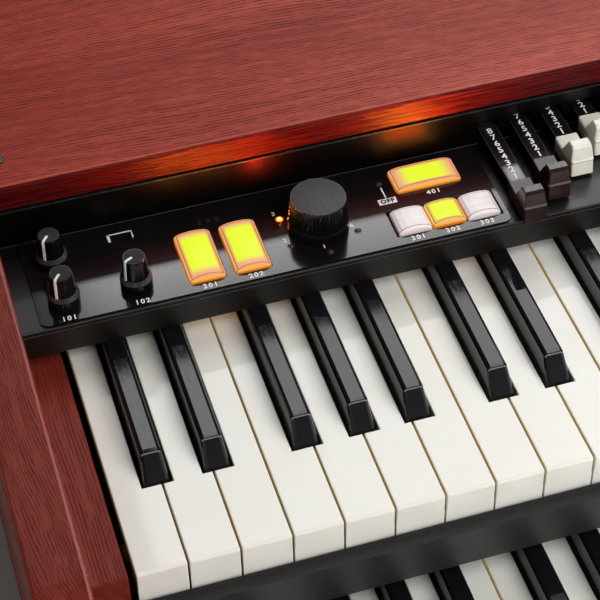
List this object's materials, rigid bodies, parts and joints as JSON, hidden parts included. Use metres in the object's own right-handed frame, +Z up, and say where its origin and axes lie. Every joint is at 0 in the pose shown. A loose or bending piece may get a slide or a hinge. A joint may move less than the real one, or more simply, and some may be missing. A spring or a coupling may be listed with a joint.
{
  "type": "dual-manual organ",
  "caption": "Tabletop drawbar organ with a cherry-stained wooden case, two stepped keyboards, a black control panel with drawbars, knobs and lit buttons, and rear connectors.",
  "frame": {"origin": "on the floor under the middle of the case", "axes": "+X from bass to treble, +Y from the player to the rear, +Z up"},
  "size_m": [0.937, 0.484, 0.2106],
  "materials": {
    "cherry_wood": "satin cherry-red stain with dark straight grain",
    "board": "raw dark fibreboard",
    "dark_rubber": "matt",
    "rear_paint": "satin black",
    "black_metal": "satin to gloss black",
    "cream_plastic": "polished ivory white",
    "black_plastic": "polished black",
    "overlay_gloss": "mirror-smooth black",
    "connector_steel": "fine black texture",
    "circuit_board": "green solder mask",
    "supply_case": "plain folded sheet",
    "lit_button": "translucent, lit amber",
    "frosted_button": "frosted clear",
    "drawbar_brown": "polished",
    "drawbar_white": "polished ivory",
    "drawbar_black": "polished"
  },
  "bodies": {
    "case": {"base_board": "board", "front_left_foot": "dark_rubber", "front_right_foot": "dark_rubber", "rear_left_foot": "dark_rubber", "rear_right_foot": "dark_rubber", "left_side_panel": "cherry_wood", "right_side_panel": "cherry_wood", "top_lid": "cherry_wood", "front_rail": "cherry_wood", "rear_panel": "rear_paint", "upper_key_slip": "black_metal", "upper_left_cheek": "cherry_wood", "upper_right_cheek": "cherry_wood", "lower_left_cheek": "cherry_wood", "lower_right_cheek": "cherry_wood", "upper_keyboard": "cream_plastic", "lower_keyboard": "cream_plastic", "control_panel": "black_metal", "left_control_overlay": "overlay_gloss", "right_control_overlay": "overlay_gloss", "connector_plate": "connector_steel", "main_board": "circuit_board", "power_supply": "supply_case"},
    "upper_key_c1": {"upper_key_c1": "cream_plastic"},
    "upper_key_c_sharp1": {"upper_key_c_sharp1": "black_plastic"},
    "upper_key_d1": {"upper_key_d1": "cream_plastic"},
    "upper_key_d_sharp1": {"upper_key_d_sharp1": "black_plastic"},
    "upper_key_e1": {"upper_key_e1": "cream_plastic"},
    "upper_key_f1": {"upper_key_f1": "cream_plastic"},
    "upper_key_f_sharp1": {"upper_key_f_sharp1": "black_plastic"},
    "upper_key_g1": {"upper_key_g1": "cream_plastic"},
    "upper_key_g_sharp1": {"upper_key_g_sharp1": "black_plastic"},
    "upper_key_a1": {"upper_key_a1": "cream_plastic"},
    "upper_key_a_sharp1": {"upper_key_a_sharp1": "black_plastic"},
    "upper_key_b1": {"upper_key_b1": "cream_plastic"},
    "upper_key_c2": {"upper_key_c2": "cream_plastic"},
    "upper_key_c_sharp2": {"upper_key_c_sharp2": "black_plastic"},
    "upper_key_d2": {"upper_key_d2": "cream_plastic"},
    "upper_key_d_sharp2": {"upper_key_d_sharp2": "black_plastic"},
    "upper_key_e2": {"upper_key_e2": "cream_plastic"},
    "volume_knob": {"volume_knob": "black_plastic"},
    "drive_knob": {"drive_knob": "black_plastic"},
    "reverb_knob": {"reverb_knob": "black_plastic"},
    "vibrato_knob": {"vibrato_knob": "black_plastic"},
    "vibrato_upper_button": {"vibrato_upper_button": "lit_button"},
    "vibrato_lower_button": {"vibrato_lower_button": "lit_button"},
    "rotary_speed_button": {"rotary_speed_button": "lit_button"},
    "preset_a_button": {"preset_a_button": "frosted_button"},
    "preset_b_button": {"preset_b_button": "lit_button"},
    "manual_button": {"manual_button": "frosted_button"},
    "upper_drawbar_1": {"upper_drawbar_1": "drawbar_brown"},
    "upper_drawbar_2": {"upper_drawbar_2": "drawbar_brown"},
    "upper_drawbar_3": {"upper_drawbar_3": "drawbar_white"},
    "upper_drawbar_4": {"upper_drawbar_4": "drawbar_white"},
    "upper_drawbar_5": {"upper_drawbar_5": "drawbar_black"},
    "upper_drawbar_6": {"upper_drawbar_6": "drawbar_white"},
    "upper_drawbar_7": {"upper_drawbar_7": "drawbar_black"},
    "upper_drawbar_8": {"upper_drawbar_8": "drawbar_black"},
    "upper_drawbar_9": {"upper_drawbar_9": "drawbar_white"},
    "power_switch": {"power_switch": "black_plastic"}
  },
  "joints": [
    {"name": "upper_key_c1_press", "type": "hinge", "parent": "case", "child": "upper_key_c1", "pos_m": [-0.41125, 0.106, 0.134], "axis": [1, 0, 0], "range_deg": [0, 2.8], "stiffness_Nm_per_rad": 0.5, "springref_deg": -14.9},
    {"name": "upper_key_c_sharp1_press", "type": "hinge", "parent": "case", "child": "upper_key_c_sharp1", "pos_m": [-0.40165, 0.106, 0.134], "axis": [1, 0, 0], "range_deg": [0, 2.8], "stiffness_Nm_per_rad": 0.5, "springref_deg": -14.9},
    {"name": "upper_key_d1_press", "type": "hinge", "parent": "case", "child": "upper_key_d1", "pos_m": [-0.38775, 0.106, 0.134], "axis": [1, 0, 0], "range_deg": [0, 2.8], "stiffness_Nm_per_rad": 0.5, "springref_deg": -14.9},
    {"name": "upper_key_d_sharp1_press", "type": "hinge", "parent": "case", "child": "upper_key_d_sharp1", "pos_m": [-0.3737, 0.106, 0.134], "axis": [1, 0, 0], "range_deg": [0, 2.8], "stiffness_Nm_per_rad": 0.5, "springref_deg": -14.9},
    {"name": "upper_key_e1_press", "type": "hinge", "parent": "case", "child": "upper_key_e1", "pos_m": [-0.36425, 0.106, 0.134], "axis": [1, 0, 0], "range_deg": [0, 2.8], "stiffness_Nm_per_rad": 0.5, "springref_deg": -14.9},
    {"name": "upper_key_f1_press", "type": "hinge", "parent": "case", "child": "upper_key_f1", "pos_m": [-0.34075, 0.106, 0.134], "axis": [1, 0, 0], "range_deg": [0, 2.8], "stiffness_Nm_per_rad": 0.5, "springref_deg": -14.9},
    {"name": "upper_key_f_sharp1_press", "type": "hinge", "parent": "case", "child": "upper_key_f_sharp1", "pos_m": [-0.332, 0.106, 0.134], "axis": [1, 0, 0], "range_deg": [0, 2.8], "stiffness_Nm_per_rad": 0.5, "springref_deg": -14.9},
    {"name": "upper_key_g1_press", "type": "hinge", "parent": "case", "child": "upper_key_g1", "pos_m": [-0.31725, 0.106, 0.134], "axis": [1, 0, 0], "range_deg": [0, 2.8], "stiffness_Nm_per_rad": 0.5, "springref_deg": -14.9},
    {"name": "upper_key_g_sharp1_press", "type": "hinge", "parent": "case", "child": "upper_key_g_sharp1", "pos_m": [-0.3049, 0.106, 0.134], "axis": [1, 0, 0], "range_deg": [0, 2.8], "stiffness_Nm_per_rad": 0.5, "springref_deg": -14.9},
    {"name": "upper_key_a1_press", "type": "hinge", "parent": "case", "child": "upper_key_a1", "pos_m": [-0.29375, 0.106, 0.134], "axis": [1, 0, 0], "range_deg": [0, 2.8], "stiffness_Nm_per_rad": 0.5, "springref_deg": -14.9},
    {"name": "upper_key_a_sharp1_press", "type": "hinge", "parent": "case", "child": "upper_key_a_sharp1", "pos_m": [-0.2782, 0.106, 0.134], "axis": [1, 0, 0], "range_deg": [0, 2.8], "stiffness_Nm_per_rad": 0.5, "springref_deg": -14.9},
    {"name": "upper_key_b1_press", "type": "hinge", "parent": "case", "child": "upper_key_b1", "pos_m": [-0.27025, 0.106, 0.134], "axis": [1, 0, 0], "range_deg": [0, 2.8], "stiffness_Nm_per_rad": 0.5, "springref_deg": -14.9},
    {"name": "upper_key_c2_press", "type": "hinge", "parent": "case", "child": "upper_key_c2", "pos_m": [-0.24675, 0.106, 0.134], "axis": [1, 0, 0], "range_deg": [0, 2.8], "stiffness_Nm_per_rad": 0.5, "springref_deg": -14.9},
    {"name": "upper_key_c_sharp2_press", "type": "hinge", "parent": "case", "child": "upper_key_c_sharp2", "pos_m": [-0.23715, 0.106, 0.134], "axis": [1, 0, 0], "range_deg": [0, 2.8], "stiffness_Nm_per_rad": 0.5, "springref_deg": -14.9},
    {"name": "upper_key_d2_press", "type": "hinge", "parent": "case", "child": "upper_key_d2", "pos_m": [-0.22325, 0.106, 0.134], "axis": [1, 0, 0], "range_deg": [0, 2.8], "stiffness_Nm_per_rad": 0.5, "springref_deg": -14.9},
    {"name": "upper_key_d_sharp2_press", "type": "hinge", "parent": "case", "child": "upper_key_d_sharp2", "pos_m": [-0.2092, 0.106, 0.134], "axis": [1, 0, 0], "range_deg": [0, 2.8], "stiffness_Nm_per_rad": 0.5, "springref_deg": -14.9},
    {"name": "upper_key_e2_press", "type": "hinge", "parent": "case", "child": "upper_key_e2", "pos_m": [-0.19975, 0.106, 0.134], "axis": [1, 0, 0], "range_deg": [0, 2.8], "stiffness_Nm_per_rad": 0.5, "springref_deg": -14.9},
    {"name": "volume_knob_turn", "type": "hinge", "parent": "case", "child": "volume_knob", "pos_m": [-0.4199, 0.061, 0.1742], "axis": [0, 0, -1], "range_deg": [0, 300]},
    {"name": "drive_knob_turn", "type": "hinge", "parent": "case", "child": "drive_knob", "pos_m": [-0.4199, 0.0344, 0.1742], "axis": [0, 0, -1], "range_deg": [0, 300]},
    {"name": "reverb_knob_turn", "type": "hinge", "parent": "case", "child": "reverb_knob", "pos_m": [-0.3852, 0.0344, 0.1742], "axis": [0, 0, -1], "range_deg": [-24, 276]},
    {"name": "vibrato_knob_turn", "type": "hinge", "parent": "case", "child": "vibrato_knob", "pos_m": [-0.2921, 0.0462, 0.1742], "axis": [0, 0, -1], "range_deg": [-120, 180]},
    {"name": "vibrato_upper_button_push", "type": "slide", "parent": "case", "child": "vibrato_upper_button", "axis": [0, 0, -1], "range_m": [0, 0.0015], "stiffness_N_per_m": 300, "springref_m": -0.004},
    {"name": "vibrato_lower_button_push", "type": "slide", "parent": "case", "child": "vibrato_lower_button", "axis": [0, 0, -1], "range_m": [0, 0.0015], "stiffness_N_per_m": 300, "springref_m": -0.004},
    {"name": "rotary_speed_button_push", "type": "slide", "parent": "case", "child": "rotary_speed_button", "axis": [0, 0, -1], "range_m": [0, 0.0015], "stiffness_N_per_m": 300, "springref_m": -0.004},
    {"name": "preset_a_button_push", "type": "slide", "parent": "case", "child": "preset_a_button", "axis": [0, 0, -1], "range_m": [0, 0.0015], "stiffness_N_per_m": 300, "springref_m": -0.004},
    {"name": "preset_b_button_push", "type": "slide", "parent": "case", "child": "preset_b_button", "axis": [0, 0, -1], "range_m": [0, 0.0015], "stiffness_N_per_m": 300, "springref_m": -0.004},
    {"name": "manual_button_push", "type": "slide", "parent": "case", "child": "manual_button", "axis": [0, 0, -1], "range_m": [0, 0.0015], "stiffness_N_per_m": 300, "springref_m": -0.004},
    {"name": "upper_drawbar_1_pull", "type": "slide", "parent": "case", "child": "upper_drawbar_1", "axis": [0, -1, 0], "range_m": [-0.04, 0]},
    {"name": "upper_drawbar_2_pull", "type": "slide", "parent": "case", "child": "upper_drawbar_2", "axis": [0, -1, 0], "range_m": [-0.0285, 0.0115]},
    {"name": "upper_drawbar_3_pull", "type": "slide", "parent": "case", "child": "upper_drawbar_3", "axis": [0, -1, 0], "range_m": [-0.01625, 0.02375]},
    {"name": "upper_drawbar_4_pull", "type": "slide", "parent": "case", "child": "upper_drawbar_4", "axis": [0, -1, 0], "range_m": [-0.00525, 0.03475]},
    {"name": "upper_drawbar_5_pull", "type": "slide", "parent": "case", "child": "upper_drawbar_5", "axis": [0, -1, 0], "range_m": [0, 0.04]},
    {"name": "upper_drawbar_6_pull", "type": "slide", "parent": "case", "child": "upper_drawbar_6", "axis": [0, -1, 0], "range_m": [0, 0.04]},
    {"name": "upper_drawbar_7_pull", "type": "slide", "parent": "case", "child": "upper_drawbar_7", "axis": [0, -1, 0], "range_m": [0, 0.04]},
    {"name": "upper_drawbar_8_pull", "type": "slide", "parent": "case", "child": "upper_drawbar_8", "axis": [0, -1, 0], "range_m": [0, 0.04]},
    {"name": "upper_drawbar_9_pull", "type": "slide", "parent": "case", "child": "upper_drawbar_9", "axis": [0, -1, 0], "range_m": [0, 0.04]},
    {"name": "power_switch_rock", "type": "hinge", "parent": "case", "child": "power_switch", "pos_m": [-0.345, 0.2277, 0.07], "axis": [1, 0, 0], "range_deg": [-20, 0]}
  ]
}
